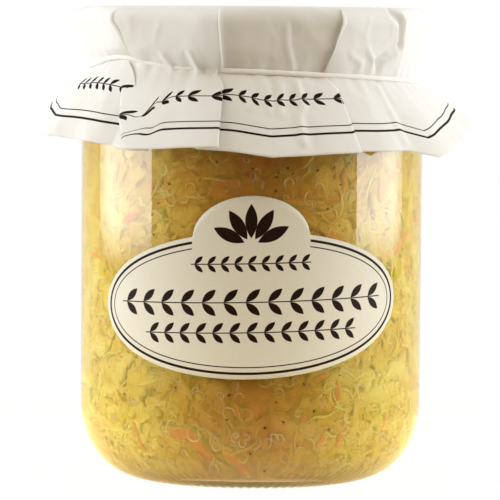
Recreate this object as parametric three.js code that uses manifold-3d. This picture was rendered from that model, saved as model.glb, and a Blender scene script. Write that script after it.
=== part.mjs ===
// A glass jar of sauerkraut salad. Its metal cap is covered by a sheet of paper that an elastic ties round
// the neck, so that the sheet flares out below as a skirt, and a paper label lies round the front of the jar.
// Millimetres, +Z up. The origin is the middle of the base, on the surface that the jar stands on, and the
// label faces -Y. Azimuths run from the front, positive towards +X.
import * as THREE from "three";
import { ParametricGeometry } from "three/addons/geometries/ParametricGeometry.js";
import { mergeVertices } from "three/addons/utils/BufferGeometryUtils.js";
import Module from "manifold-3d";

// Glass jar
const bodyRadius = 43.5;
const wall = 2.4;
const jarHeight = 117.5;
const restInner = 26;
const restOuter = 28.5;
const pushUp = 2.6;
const heelHeight = 19;
const baseThickness = 4.6;
const shoulderStart = 88;
const shoulderHeight = 15;
const neckRadius = 39.4;
const beadHeight = 105;
const beadRadius = 1.2;
const rimThickness = 2.2;

// Metal cap
const capRadius = 42.3;
const capWall = 0.8;
const capTop = 118.7;
const capBottom = 109.2;
const capCorner = 1.8;

// Paper cover
const paperThickness = 0.45;
const paperTop = 119.5;
const puffRadius = 45.2;
const tieRadius = 41.6;
const tieHeight = 102.6;
const tieTilt = 1.9;
const tieTiltAzimuth = -60;
const tieHump = 2.3;
const tieHumpAzimuth = -50;
const tieHumpWidth = 16;
const skirtRadius = 54.4;
const skirtFrontHeight = 84.4;
const skirtSideHeight = 90.5;
const cornerDrop = 3;
const cornerWidth = 13;
const cornerAzimuths = [53, 121, -127];
// Each fold is a step in the sheet: where it is, how far the upper layer stands out, and which way that
// layer goes from the step.
const folds = [
  { azimuth: -48, lift: 1.5, side: 1 },
  { azimuth: -10, lift: 1.6, side: -1 },
  { azimuth: 27, lift: 1.4, side: 1 },
  { azimuth: 74, lift: 1.1, side: -1 },
  { azimuth: 112, lift: 1.4, side: 1 },
  { azimuth: 158, lift: 1.5, side: -1 },
  { azimuth: -155, lift: 1.3, side: 1 },
  { azimuth: -104, lift: 1.5, side: -1 },
];
const foldReach = 26;

// Elastic
const elasticRadius = 0.62;

// Label: an oval with an arch on its top edge, measured flat before it is laid round the glass
const labelWidth = 82.5;
const labelHeight = 36;
const labelMiddle = 46.8;
const archWidth = 29.2;
const archFoot = 16.1;
const archRise = 10.6;
const labelThickness = 0.2;
const labelTilt = 1.5;

// Sauerkraut
const coreRadius = 39.1;
const fillLevel = 107;
const shredCount = 43;
const shredLength = [16, 30];
const shredSection = [2.6, 1.1];
const carrotCount = 11;
const carrotLength = [11, 20];
const carrotSection = [2.4, 2.2];
const lowestPiece = 20;
const highestPiece = 88;
const goldenAngle = 137.5;
const seed = 20;

const gap = 0.3;
const turns = 36;
const paperColumns = 80;

const wasm = await Module();
wasm.setup();

const degrees = THREE.MathUtils.degToRad;

// The point at an azimuth, in radians, a distance from the axis and a height.
function around(azimuth, radius, height) {
  return new THREE.Vector3(radius * Math.sin(azimuth), -radius * Math.cos(azimuth), height);
}

// How far one azimuth lies from another, in degrees from -180 to 180.
function turnBetween(from, to) {
  return THREE.MathUtils.euclideanModulo(to - from + 180, 360) - 180;
}

// A bell of height 1 round a middle.
function bell(distance, width) {
  return Math.exp(-((distance / width) ** 2));
}

// Merges the seams of a surface and drops the faces that have no area.
function weld(geometry) {
  geometry.deleteAttribute("normal");
  geometry.deleteAttribute("uv");
  const merged = mergeVertices(geometry, 1e-3);
  const corners = merged.index.array;
  const kept = [];
  for (let i = 0; i < corners.length; i += 3) {
    const [a, b, c] = corners.slice(i, i + 3);
    if (a !== b && b !== c && c !== a) kept.push(a, b, c);
  }
  merged.setIndex(kept);
  merged.computeVertexNormals();
  return merged;
}

// A closed surface from a function of two whole numbers: the column, which runs round the jar or along a
// strip, and the row, which goes round its section from the top, first down the outside.
function surface(columns, rows, pointAt) {
  const place = (u, v, target) => target.copy(pointAt(Math.round(u * columns), Math.round((1 - v) * rows)));
  return weld(new ParametricGeometry(place, columns, rows));
}

function piece(name, geometry, color, roughness, metalness = 0) {
  const material = new THREE.MeshStandardMaterial({ color, roughness, metalness });
  const mesh = new THREE.Mesh(geometry, material);
  mesh.name = name;
  return mesh;
}

// A turned piece, from a profile of radius and height that starts and ends on the axis.
function turned(name, profile, fineness, color, roughness, metalness) {
  const geometry = weld(new THREE.LatheGeometry(profile.getPoints(fineness), turns));
  const mesh = piece(name, geometry, color, roughness, metalness);
  mesh.rotation.x = Math.PI / 2;
  return mesh;
}

const heelTop = heelHeight + wall;
const innerRadius = bodyRadius - wall;
const floorHeight = pushUp + baseThickness;
const mouthRadius = neckRadius - rimThickness;
const wallClearance = innerRadius - coreRadius;
const coreFoot = floorHeight + wallClearance;

function glassJar() {
  const profile = new THREE.Path();
  profile.moveTo(0, pushUp);
  profile.quadraticCurveTo(restInner * 0.8, pushUp, restInner, 0);
  profile.lineTo(restOuter, 0);
  profile.absellipse(restOuter, heelHeight, bodyRadius - restOuter, heelHeight, -Math.PI / 2, 0);
  profile.lineTo(bodyRadius, shoulderStart);
  profile.bezierCurveTo(
    bodyRadius, shoulderStart + shoulderHeight * 0.6,
    neckRadius, shoulderStart + shoulderHeight * 0.7,
    neckRadius, shoulderStart + shoulderHeight,
  );
  profile.absarc(neckRadius, beadHeight, beadRadius, -Math.PI / 2, Math.PI / 2);
  profile.lineTo(neckRadius, jarHeight - rimThickness / 2);
  profile.absarc(neckRadius - rimThickness / 2, jarHeight - rimThickness / 2, rimThickness / 2, 0, Math.PI);
  profile.lineTo(mouthRadius, shoulderStart + shoulderHeight - wall);
  profile.bezierCurveTo(
    mouthRadius, shoulderStart + shoulderHeight * 0.6,
    innerRadius, shoulderStart + shoulderHeight * 0.5,
    innerRadius, shoulderStart - wall,
  );
  profile.lineTo(innerRadius, heelHeight + wall);
  const heelRise = heelTop - baseThickness;
  profile.absellipse(restOuter, heelTop, innerRadius - restOuter, heelRise, 0, -Math.PI / 2, true);
  profile.quadraticCurveTo(restInner * 0.8, floorHeight, 0, floorHeight);
  return turned("glass_jar", profile, 3, 0xdfe6d8, 0.05);
}

function metalCap() {
  const inside = capRadius - capWall;
  const underside = jarHeight + gap;
  const profile = new THREE.Path();
  profile.moveTo(0, underside);
  profile.lineTo(inside - 1, underside);
  profile.lineTo(inside, underside - 1);
  profile.lineTo(inside, capBottom + capWall);
  profile.absarc(inside, capBottom + capWall, capWall, Math.PI, Math.PI * 2);
  profile.absarc(capRadius - capCorner, capTop - capCorner, capCorner, 0, Math.PI / 2);
  profile.lineTo(0, capTop);
  return turned("metal_cap", profile, 2, 0xe8e2d0, 0.35, 0.4);
}

// How far the folds lift the paper at an azimuth.
function foldLift(azimuth) {
  const lifts = folds.map((fold) => {
    const distance = fold.side * turnBetween(fold.azimuth, azimuth);
    return distance < 0 ? 0 : fold.lift * Math.exp(-distance / foldReach);
  });
  return Math.max(...lifts);
}

// The elastic pulls the paper in at a height that wanders round the neck.
function tieLevel(azimuth) {
  const tilt = tieTilt * Math.cos(degrees(azimuth - tieTiltAzimuth));
  return tieHeight + tilt + tieHump * bell(turnBetween(tieHumpAzimuth, azimuth), tieHumpWidth);
}

// The cut edge of the skirt hangs lower in front and behind than at the sides, and lowest at its corners.
function skirtLevel(azimuth) {
  const side = Math.sin(degrees(azimuth)) ** 6;
  const corners = cornerAzimuths.map((corner) => bell(turnBetween(corner, azimuth), cornerWidth));
  const edge = THREE.MathUtils.lerp(skirtFrontHeight, skirtSideHeight, side);
  return edge - cornerDrop * Math.max(...corners);
}

// The outer face of the paper at an azimuth, as radius and height, from the middle of its top to its edge.
function paperOutline(azimuth) {
  const lift = foldLift(azimuth);
  const tie = tieLevel(azimuth);
  const puff = puffRadius + lift * 0.4;
  const outline = [
    [0, paperTop],
    [capRadius - 1.6, paperTop],
    [capRadius + 1.2, paperTop - 0.7],
    [puff - 0.6, paperTop - 2.8],
    [puff, paperTop - 6],
    [capRadius + 1.5 + lift, capBottom + 0.5],
    [tieRadius + 0.5, tie + 1.4],
    [tieRadius, tie],
    [tieRadius + 0.8, tie - 1.8],
  ];
  const edge = skirtLevel(azimuth);
  for (const share of [0.35, 0.7, 1]) {
    const spread = THREE.MathUtils.lerp(tieRadius + 0.8, skirtRadius, share);
    outline.push([spread + lift * share * 0.7, THREE.MathUtils.lerp(tie - 1.8, edge, share)]);
  }
  return outline.map(([radius, height]) => new THREE.Vector2(radius, height));
}

// The inner face lies a paper's thickness behind the outer one.
function paperLining(outline) {
  return outline.map((point, i) => {
    if (i === 0) return new THREE.Vector2(0, point.y - paperThickness);
    const before = outline[i - 1];
    const after = outline[Math.min(i + 1, outline.length - 1)];
    const along = after.clone().sub(before).normalize();
    return new THREE.Vector2(point.x + along.y * paperThickness, point.y - along.x * paperThickness);
  });
}

function paperCover() {
  const sections = [];
  for (let column = 0; column < paperColumns; column++) {
    const outline = paperOutline((column * 360) / paperColumns);
    sections.push([...outline, ...paperLining(outline).reverse()]);
  }
  const geometry = surface(paperColumns, sections[0].length - 1, (column, row) => {
    const point = sections[column % paperColumns][row];
    return around((column * 2 * Math.PI) / paperColumns, point.x, point.y);
  });
  return piece("paper_cover", geometry, 0xf3efe4, 0.8);
}

function elastic() {
  const columns = 54;
  const sides = 6;
  const middle = tieRadius + gap + elasticRadius;
  const geometry = surface(columns, sides, (column, side) => {
    const azimuth = (column % columns) * (360 / columns);
    const turn = ((side % sides) * 2 * Math.PI) / sides;
    const radius = middle + elasticRadius * Math.cos(turn);
    return around(degrees(azimuth), radius, tieLevel(azimuth) - elasticRadius * Math.sin(turn));
  });
  return piece("elastic", geometry, 0xf7f5f0, 0.7);
}

// The label's upper edge, at a distance along the jar from its middle.
function labelTop(x, ovalTop) {
  const share = Math.abs(x) / (archWidth / 2);
  if (share >= 1) return ovalTop;
  return Math.max(ovalTop, archFoot + archRise * Math.sqrt(1 - share ** 2));
}

function label() {
  const columns = 48;
  const near = bodyRadius + gap;
  const far = near + labelThickness;
  const geometry = surface(columns, 4, (column, corner) => {
    const across = (Math.PI / 2) * ((2 * column) / columns - 1);
    const x = (labelWidth / 2) * Math.sin(across);
    const ovalTop = (labelHeight / 2) * Math.cos(across);
    const lower = corner === 1 || corner === 2;
    const height = lower ? -ovalTop : labelTop(x, ovalTop);
    const radius = corner === 2 || corner === 3 ? near : far;
    return around(x / bodyRadius, radius, labelMiddle + height + x * Math.tan(degrees(labelTilt)));
  });
  return piece("front_label", geometry, 0xefe6cf, 0.75);
}

function solidOf(geometry) {
  return new wasm.Manifold(
    new wasm.Mesh({
      numProp: 3,
      vertProperties: geometry.attributes.position.array,
      triVerts: new Uint32Array(geometry.index.array),
    }),
  );
}

// The core's distance from the axis: it rounds in at the heel and narrows to the neck, inside the glass.
function coreReach(height) {
  const shoulderFoot = shoulderStart - wall;
  if (height < heelTop) {
    const drop = Math.min((heelTop - height) / (heelTop - coreFoot), 1);
    return THREE.MathUtils.lerp(restOuter, coreRadius, Math.sqrt(1 - drop ** 2));
  }
  const narrowing = THREE.MathUtils.clamp((height - shoulderFoot) / shoulderHeight, 0, 1);
  return THREE.MathUtils.lerp(coreRadius, mouthRadius - wallClearance, narrowing);
}

// A strip that lies on the core, against the glass: four-sided, bent with the wall and pointed at both ends.
function strip({ azimuth, level, length, slope, sway, width, depth }) {
  const steps = 6;
  const corners = [[1, 1], [-1, 1], [-1, -1], [1, -1]];
  return surface(steps, corners.length, (step, corner) => {
    const along = step / steps - 0.5;
    const full = 1 - (2 * along) ** 4;
    const [side, out] = corners[corner % corners.length];
    const run = along * length;
    const across = sway * Math.sin(along * 5) + side * full * width * 0.5;
    const height = level + run * Math.sin(slope) + across * Math.cos(slope);
    const turn = (run * Math.cos(slope) - across * Math.sin(slope)) / coreRadius;
    return around(azimuth + turn, coreReach(height) + out * full * depth * 0.5, height);
  });
}

// A repeatable stream of numbers from 0 to 1.
function draws(start) {
  let state = start;
  return () => {
    state = (state * 1664525 + 1013904223) % 4294967296;
    return state / 4294967296;
  };
}

// Strips spread evenly over the wall by the golden angle, from the heel up to the shoulder.
function strips(count, lengths, [width, depth], draw) {
  const made = [];
  for (let i = 0; i < count; i++) {
    const level = THREE.MathUtils.lerp(lowestPiece, highestPiece, (i + 0.5) / count);
    made.push(
      strip({
        azimuth: degrees(i * goldenAngle + draw() * 20),
        level,
        length: THREE.MathUtils.lerp(...lengths, draw()),
        slope: (draw() - 0.5) * 1.7,
        sway: (draw() - 0.5) * 4,
        width: width * (0.7 + 0.6 * draw()),
        depth,
      }),
    );
  }
  return made;
}

function sauerkraut() {
  const bands = 12;
  const profile = [new THREE.Vector2(0, coreFoot)];
  for (let band = 0; band <= bands; band++) {
    const height = THREE.MathUtils.lerp(coreFoot, fillLevel, band / bands);
    profile.push(new THREE.Vector2(coreReach(height), height));
  }
  profile.push(new THREE.Vector2(0, fillLevel));
  const core = weld(new THREE.LatheGeometry(profile, turns));
  core.rotateX(Math.PI / 2);
  const draw = draws(seed);
  const pieces = [
    ...strips(shredCount, shredLength, shredSection, draw),
    ...strips(carrotCount, carrotLength, carrotSection, draw),
  ];
  const heap = pieces.reduce((whole, next) => whole.add(solidOf(next)), solidOf(core)).getMesh();
  const geometry = new THREE.BufferGeometry();
  geometry.setAttribute("position", new THREE.BufferAttribute(heap.vertProperties, heap.numProp));
  geometry.setIndex(new THREE.BufferAttribute(heap.triVerts, 1));
  geometry.computeVertexNormals();
  return piece("sauerkraut", geometry, 0xd9b45a, 0.5);
}

const jar = new THREE.Group();
jar.name = "sauerkraut_jar";
jar.add(glassJar(), metalCap(), paperCover(), elastic(), label(), sauerkraut());

export default jar;
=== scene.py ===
# %% [markdown]
# # A jar of sauerkraut under a paper cover
# The object is a glass jar packed with sour cabbage and strips of carrot. A sheet of paper lies
# over its metal cap, an elastic ties the sheet round the neck, and an oval paper label goes round
# the front. The CAD model already has each piece at its real size. This lesson loads it as a fixed
# frame and replaces its plain solids, one after the other, by finer meshes with glass, brine,
# cabbage and paper finishes.

# %% Load the frame
import math
import random

import bmesh
import bpy
import numpy as np
from mathutils import Matrix, Vector, noise
from mathutils.geometry import interpolate_bezier


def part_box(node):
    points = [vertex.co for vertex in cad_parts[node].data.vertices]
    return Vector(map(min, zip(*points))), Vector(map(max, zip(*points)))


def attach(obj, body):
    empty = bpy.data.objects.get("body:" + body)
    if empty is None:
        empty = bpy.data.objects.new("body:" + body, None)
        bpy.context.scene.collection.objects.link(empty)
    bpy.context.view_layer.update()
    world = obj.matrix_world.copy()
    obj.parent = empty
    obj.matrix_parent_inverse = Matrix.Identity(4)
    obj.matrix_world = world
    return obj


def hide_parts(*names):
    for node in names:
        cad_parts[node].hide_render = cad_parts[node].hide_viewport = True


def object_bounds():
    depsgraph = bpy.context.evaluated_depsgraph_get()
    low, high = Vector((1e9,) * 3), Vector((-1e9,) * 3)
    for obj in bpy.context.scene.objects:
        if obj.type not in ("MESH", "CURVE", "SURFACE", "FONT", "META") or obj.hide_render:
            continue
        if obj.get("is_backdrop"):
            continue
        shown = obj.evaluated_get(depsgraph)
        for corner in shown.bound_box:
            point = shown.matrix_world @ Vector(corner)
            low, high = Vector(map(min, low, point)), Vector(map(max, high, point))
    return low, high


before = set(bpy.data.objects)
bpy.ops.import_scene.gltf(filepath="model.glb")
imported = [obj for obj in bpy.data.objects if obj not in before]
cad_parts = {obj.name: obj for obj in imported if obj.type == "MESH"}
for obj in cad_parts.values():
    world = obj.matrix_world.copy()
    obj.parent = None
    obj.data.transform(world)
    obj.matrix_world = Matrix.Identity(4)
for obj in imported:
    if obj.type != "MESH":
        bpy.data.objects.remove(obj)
cad_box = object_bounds()
print("CAD nodes:", sorted(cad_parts))

# %% [markdown]
# Sizes read best in millimetres, while Blender works in metres. Every piece below is therefore
# shaped in millimetres and scaled once, when its bmesh becomes an object. The same helper shades it
# smooth, gives it its finish, ties it to the jar's body and hides the CAD solid that it stands for.

# %% From a bmesh to a finished piece
MM = 0.001


def piece_from_mesh(name, mesh, finish, node):
    """Makes the object of a mesh in metres, riding on the jar, in place of a CAD node."""
    mesh.shade_smooth()
    mesh.materials.append(finish)
    made = bpy.data.objects.new(name, mesh)
    bpy.context.scene.collection.objects.link(made)
    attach(made, "root")
    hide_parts(node)
    print(name, len(mesh.polygons), "faces")
    return made


def piece_from_bmesh(name, shape, finish, node):
    """Scales a bmesh from millimetres to metres and makes its object."""
    bmesh.ops.scale(shape, vec=(MM, MM, MM), verts=shape.verts[:])
    mesh = bpy.data.meshes.new(name)
    shape.to_mesh(mesh)
    shape.free()
    return piece_from_mesh(name, mesh, finish, node)


def spun(profile, steps=240):
    """Turns a profile of radius and height round the Z axis and closes its poles."""
    shape = bmesh.new()
    corners = [shape.verts.new((radius, 0, height)) for radius, height in profile]
    sides = [shape.edges.new(pair) for pair in zip(corners, corners[1:])]
    bmesh.ops.spin(
        shape, geom=corners + sides, axis=(0, 0, 1), cent=(0, 0, 0),
        angle=math.tau, steps=steps, use_merge=True,
    )
    bmesh.ops.remove_doubles(shape, verts=shape.verts[:], dist=1e-4)
    bmesh.ops.recalc_face_normals(shape, faces=shape.faces[:])
    return shape


print("one millimetre is", MM, "m")

# %% [markdown]
# Finishes are node trees, and long chains of Math nodes are hard to read as code. The class below
# wraps one output socket, so that `1 - mask * 0.5` adds the Math nodes by itself. Every other kind
# of node comes from its one method, `node`, which takes the settings first and then the values or
# links of the sockets.

# %% Shader expressions
class Wire:
    """One output of a material's node tree, on which Python's operators add Math nodes."""

    def __init__(self, tree, socket=None):
        self.tree = tree
        self.socket = socket

    def node(self, kind, settings=None, values=None, output=0):
        """Adds a node and returns the wire of one of its outputs."""
        made = self.tree.nodes.new("ShaderNode" + kind)
        for name, setting in (settings or {}).items():
            if name == "stops":
                stops = made.color_ramp.elements
                while len(stops) < len(setting):
                    stops.new(1.0)
                for stop, (position, shade) in zip(stops, setting):
                    stop.position = position
                    stop.color = shade
            else:
                setattr(made, name, setting)
        for name, value in (values or {}).items():
            if isinstance(value, Wire):
                self.tree.links.new(value.socket, made.inputs[name])
            else:
                made.inputs[name].default_value = value
        return Wire(self.tree, made.outputs[output])

    def math(self, operation, *others):
        """Adds a Math node that takes this wire first."""
        values = dict(enumerate((self, *others)))
        return self.node("Math", {"operation": operation}, values)

    def __add__(self, other):
        return self.math("ADD", other)

    def __sub__(self, other):
        return self.math("SUBTRACT", other)

    def __rsub__(self, other):
        return self.node("Math", {"operation": "SUBTRACT"}, {0: other, 1: self})

    def __mul__(self, other):
        return self.math("MULTIPLY", other)

    def __truediv__(self, other):
        return self.math("DIVIDE", other)

    def __pow__(self, other):
        return self.math("POWER", other)

    def __abs__(self):
        return self.math("ABSOLUTE")

    __radd__ = __add__
    __rmul__ = __mul__

    def smooth(self, low, high):
        """Goes from 0 at low to 1 at high, with soft ends."""
        values = {"Value": self, "From Min": low, "From Max": high}
        return self.node("MapRange", {"interpolation_type": "SMOOTHSTEP"}, values)

    def mix(self, dark, light):
        """A colour from dark to light, as this wire goes from 0 to 1."""
        return self.node("Mix", {"data_type": "RGBA"}, {0: self, 6: dark, 7: light}, output=2)


def colour(red, green, blue):
    """A linear colour from the 0 to 255 values of a colour picker."""
    shares = (red / 255, green / 255, blue / 255)
    return (*(s / 12.92 if s <= 0.04045 else ((s + 0.055) / 1.055) ** 2.4 for s in shares), 1.0)


def new_finish(name):
    """An empty material, as a wire to add nodes with."""
    material = bpy.data.materials.new(name)
    material.use_nodes = True
    material.node_tree.nodes.clear()
    return material, Wire(material.node_tree)


def put_out(wires, surface, volume=None):
    """Connects the surface, and a volume if there is one, to the material's output."""
    values = {"Surface": surface}
    if volume:
        values["Volume"] = volume
    end = wires.tree.nodes.new("ShaderNodeOutputMaterial")
    for name, wire in values.items():
        wires.tree.links.new(wire.socket, end.inputs[name])


print("a picker's middle grey is", round(colour(128, 128, 128)[0], 3), "as a linear value")

# %% [markdown]
# The jar is pressed glass with a wall of about 2.4 mm, a rounded heel and a pushed-up base with a
# knurled ring that it stands on. A glass wall needs both its faces, or light would bend as in a
# solid lump, so the profile runs up the outside, over the rim and down the inside, and one spin
# makes the whole jar.

# %% The profile of the glass
BODY_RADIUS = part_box("glass_jar")[1].x / MM
JAR_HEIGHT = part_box("glass_jar")[1].z / MM
WALL = 2.4
REST_INNER = 26
REST_OUTER = 28.5
PUSH_UP = 2.6
HEEL_HEIGHT = 19
BASE_THICKNESS = 4.6
SHOULDER_START = 88
SHOULDER_HEIGHT = 15
NECK_RADIUS = 39.4
RIM_THICKNESS = 2.2
BEAD_HEIGHT = 105
BEAD_RADIUS = 1.2
HEEL_STEPS = 22
BEAD_STEPS = 8
RIM_STEPS = 10
INNER_RADIUS = BODY_RADIUS - WALL
HEEL_TOP = HEEL_HEIGHT + WALL
FLOOR_HEIGHT = PUSH_UP + BASE_THICKNESS
MOUTH_RADIUS = NECK_RADIUS - RIM_THICKNESS


def arc(middle, across, up, start, end, steps):
    """Points of radius and height on an ellipse, from one angle to another in degrees."""
    turns = np.radians(np.linspace(start, end, steps + 1))
    return [(middle[0] + across * math.cos(t), middle[1] + up * math.sin(t)) for t in turns]


def bend(first, first_pull, last_pull, last, steps=12):
    """Points on a Bezier curve between two points of radius and height."""
    corners = [Vector((radius, height, 0)) for radius, height in (first, first_pull, last_pull, last)]
    return [(point.x, point.y) for point in interpolate_bezier(*corners, steps)]


def outer_wall():
    """The outside of the glass, from the middle of the base up to the neck's bead."""
    shoulder_top = SHOULDER_START + SHOULDER_HEIGHT
    push = bend(
        (0, PUSH_UP),
        (REST_INNER * 0.5, PUSH_UP),
        (REST_INNER * 0.85, PUSH_UP * 0.7),
        (REST_INNER, 0),
    )
    heel = arc((REST_OUTER, HEEL_HEIGHT), BODY_RADIUS - REST_OUTER, HEEL_HEIGHT, -90, 0, HEEL_STEPS)
    shoulder = bend(
        (BODY_RADIUS, SHOULDER_START),
        (BODY_RADIUS, SHOULDER_START + SHOULDER_HEIGHT * 0.6),
        (NECK_RADIUS, SHOULDER_START + SHOULDER_HEIGHT * 0.7),
        (NECK_RADIUS, shoulder_top),
    )
    bead = arc((NECK_RADIUS, BEAD_HEIGHT), BEAD_RADIUS, BEAD_RADIUS, -90, 90, BEAD_STEPS)
    return push + heel + shoulder + bead


def inner_wall(grown=0.0):
    """The inside of the glass, from the mouth down to the middle of the floor, moved out by a distance."""
    radius = INNER_RADIUS + grown
    mouth = MOUTH_RADIUS + grown
    neck_foot = SHOULDER_START + SHOULDER_HEIGHT - WALL
    shoulder = bend(
        (mouth, neck_foot),
        (mouth, SHOULDER_START + SHOULDER_HEIGHT * 0.6),
        (radius, SHOULDER_START + SHOULDER_HEIGHT * 0.5),
        (radius, SHOULDER_START - WALL),
    )
    rise = HEEL_TOP - BASE_THICKNESS + grown
    heel = arc((REST_OUTER, HEEL_TOP), radius - REST_OUTER, rise, 0, -90, HEEL_STEPS)
    foot = heel[-1][1]
    floor = FLOOR_HEIGHT - grown
    push = bend(heel[-1], (REST_INNER * 0.8, foot + 1), (REST_INNER * 0.5, floor), (0, floor))
    return shoulder + heel + push[1:]


rim_middle = (NECK_RADIUS - RIM_THICKNESS / 2, JAR_HEIGHT - RIM_THICKNESS / 2)
rim = arc(rim_middle, RIM_THICKNESS / 2, RIM_THICKNESS / 2, 0, 180, RIM_STEPS)
glass_profile = outer_wall() + rim + inner_wall()
print("glass profile:", len(glass_profile), "points")

# %% [markdown]
# Clear glass is a Principled shader with full transmission. Cycles would darken everything behind
# it, because light from a panel can't find its way through a bent surface, so shadow rays meet a
# plain Transparent shader instead and the studio's panels light the cabbage through the wall. A
# face between glass and liquid bends light and hardly mirrors it, so it gets a Refraction shader
# alone.

# %% Clear finishes
def clear_finish(name, tint, index, shines, inside=None):
    """A clear solid or liquid that lets light through. Only a face against air shines."""
    material, wires = new_finish(name)
    if shines:
        clear = wires.node("BsdfPrincipled", values={
            "Base Color": tint, "Roughness": 0.02, "IOR": index, "Transmission Weight": 1.0})
    else:
        clear = wires.node("BsdfRefraction", values={"Color": tint, "Roughness": 0.0, "IOR": index})
    passing = wires.node("BsdfTransparent", values={"Color": tint})
    shadow_ray = wires.node("LightPath", output="Is Shadow Ray")
    surface = wires.node("MixShader", values={0: shadow_ray, 1: clear, 2: passing})
    put_out(wires, surface, inside(wires) if inside else None)
    return material


CLEAR = (1, 1, 1, 1)
GLASS_TINT = (0.99, 0.995, 0.985, 1)
GLASS_INDEX = 1.5

glass_finish = clear_finish("clear_glass", GLASS_TINT, GLASS_INDEX, True)
wet_glass_finish = clear_finish("wet_glass", CLEAR, GLASS_INDEX, False)
print("finishes:", glass_finish.name, wet_glass_finish.name)

# %% [markdown]
# The ring that the jar stands on is knurled: short ribs that the mould leaves there. The ribs are
# small waves in the height of the ring's vertices, so they show as notches along the foot of the
# jar. Inside, the faces that the brine wets get the second finish.

# %% The glass jar
GLASS_STEPS = 360
RIB_COUNT = 90
RIB_DEPTH = 0.35
RIB_RING_RADIUS = 30.5
RIB_RING_WIDTH = 2.4
RIB_TOP = 2
WET_FOOT = 9
LEAST_SLOPE = 0.01
FILL_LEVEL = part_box("sauerkraut")[1].z / MM

glass_shape = spun(glass_profile, GLASS_STEPS)
for vertex in glass_shape.verts:
    reach = math.hypot(vertex.co.x, vertex.co.y)
    on_ring = math.exp(-(((reach - RIB_RING_RADIUS) / RIB_RING_WIDTH) ** 2))
    if vertex.co.z < RIB_TOP:
        turn = math.atan2(vertex.co.y, vertex.co.x)
        vertex.co.z += on_ring * RIB_DEPTH * (0.5 + 0.5 * math.cos(RIB_COUNT * turn))
for face in glass_shape.faces:
    middle = face.calc_center_median()
    inward = middle.x * face.normal.x + middle.y * face.normal.y < -LEAST_SLOPE
    face.material_index = int(inward and WET_FOOT < middle.z < FILL_LEVEL)
glass = piece_from_bmesh("glass_wall", glass_shape, glass_finish, "glass_jar")
glass.data.materials.append(wet_glass_finish)

# %% [markdown]
# The cabbage lies in its brine, a cloudy yellow liquid. Where a liquid meets glass there is no air,
# so the brine's mesh reaches a few hundredths of a millimetre into the wall. Two volume shaders
# fill it: Volume Scatter is the fine pulp that makes it cloudy, and Volume Absorption is the juice,
# which takes the blue and some of the green out of the light. So the jar looks amber where the
# liquid lies deep before the cabbage, and pale yellow where it is thin.

# %% The brine
INTO_WALL = 0.06
BRINE_INDEX = 1.34

brine_profile = [(0, FILL_LEVEL), (MOUTH_RADIUS + INTO_WALL, FILL_LEVEL)] + inner_wall(INTO_WALL)


def cloudy_brine(wires):
    """Fine pulp scatters light in the brine, and its juice takes the blue out of it."""
    pulp = wires.node("VolumeScatter", values={
        "Color": (1.0, 0.9, 0.12, 1), "Density": 2000.0, "Anisotropy": 0.4})
    juice = wires.node("VolumeAbsorption", values={"Color": (0.995, 0.36, 0.02, 1), "Density": 800.0})
    return wires.node("AddShader", values={0: pulp, 1: juice})


brine_finish = clear_finish("brine", CLEAR, BRINE_INDEX, False, cloudy_brine)
piece_from_bmesh("brine", spun(brine_profile), brine_finish, "sauerkraut")

# %% [markdown]
# What lies in the jar follows the inside of the glass, so the first helper gives the inner radius
# at any height, from the sizes of the profile. The second says how deep the liquid lies before the
# cabbage. That depth is painted shade: the liquid is made deepest in the middle of the front and of
# the back, so that its amber darkens the jar there as the shade between the side lights would, and
# it is deeper towards the neck than at the foot.

# %% The inside of the wall and the depth of the liquid
def wall_reach(height):
    """The inner radius of the glass at heights, as an array."""
    height = np.asarray(height, float)
    drop = np.clip((HEEL_TOP - height) / (HEEL_TOP - BASE_THICKNESS), 0, 1)
    heel = REST_OUTER + (INNER_RADIUS - REST_OUTER) * np.sqrt(1 - drop ** 2)
    shoulder_foot = SHOULDER_START - WALL
    share = np.clip((height - shoulder_foot) / SHOULDER_HEIGHT, 0, 1)
    narrowing = (INNER_RADIUS - MOUTH_RADIUS) * share * share * (3 - 2 * share)
    return np.minimum(heel, INNER_RADIUS) - narrowing


LEAST_LIQUID = 0.2
LIQUID_SHARPNESS = 11
LIQUID_LOW = 35
LIQUID_HIGH = 85
LIQUID_RISE = 0.45


def liquid_share(azimuth, height):
    """How deep the liquid lies before the cabbage: deepest in front and behind, as painted shade, and deeper
    higher up.
    """
    # Deeper liquid in front and behind is painted shade: its amber stands in for the shade between the side
    # lights.
    painted_front_shade = np.abs(np.cos(azimuth)) ** LIQUID_SHARPNESS
    risen = np.clip((height - LIQUID_LOW) / (LIQUID_HIGH - LIQUID_LOW), 0, 1)
    return (LEAST_LIQUID + (1 - LEAST_LIQUID) * painted_front_shade) * (1 + LIQUID_RISE * risen)


print("inner radius at the heel, wall and neck:", wall_reach([8, 50, 104]).round(1))

# %% [markdown]
# Soaked cabbage is soft and full of light, and its edges vanish in the cloudy brine. So each piece
# carries two attributes: `tone` is its own shade, and `middle` falls to 0 at its edges, where its
# colour fades into a haze that all pieces share. Light also spreads inside it and its small steps
# hardly shade, so its normal is mostly that of the wall. Cycles would correct a normal so far from
# the face's own and draw dark rims, so that correction is off. Shadow rays pass through the shreds
# and turn yellow on the way.

# %% Cabbage finishes
HAZE_DEEP = colour(237, 218, 68)
HAZE_PALE = colour(244, 242, 92)
HAZE_SCALE = 110.0


def haze_colour(wires, place):
    """The colour that all pieces share at their edges, in patches of about a centimetre."""
    patches = wires.node("TexNoise", values={"Vector": place, "Scale": HAZE_SCALE, "Detail": 2.0})
    return patches.smooth(0.35, 0.65).mix(HAZE_DEEP, HAZE_PALE)


VEIN_SCALE = 700.0
VEIN_CONTRAST = 0.5
EDGE_FADE = (0.05, 0.6)
LIGHT_PASSED = (1.0, 0.84, 0.5, 1)
SOFTENING = 0.85
HEEL_TURN = 1.3


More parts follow.
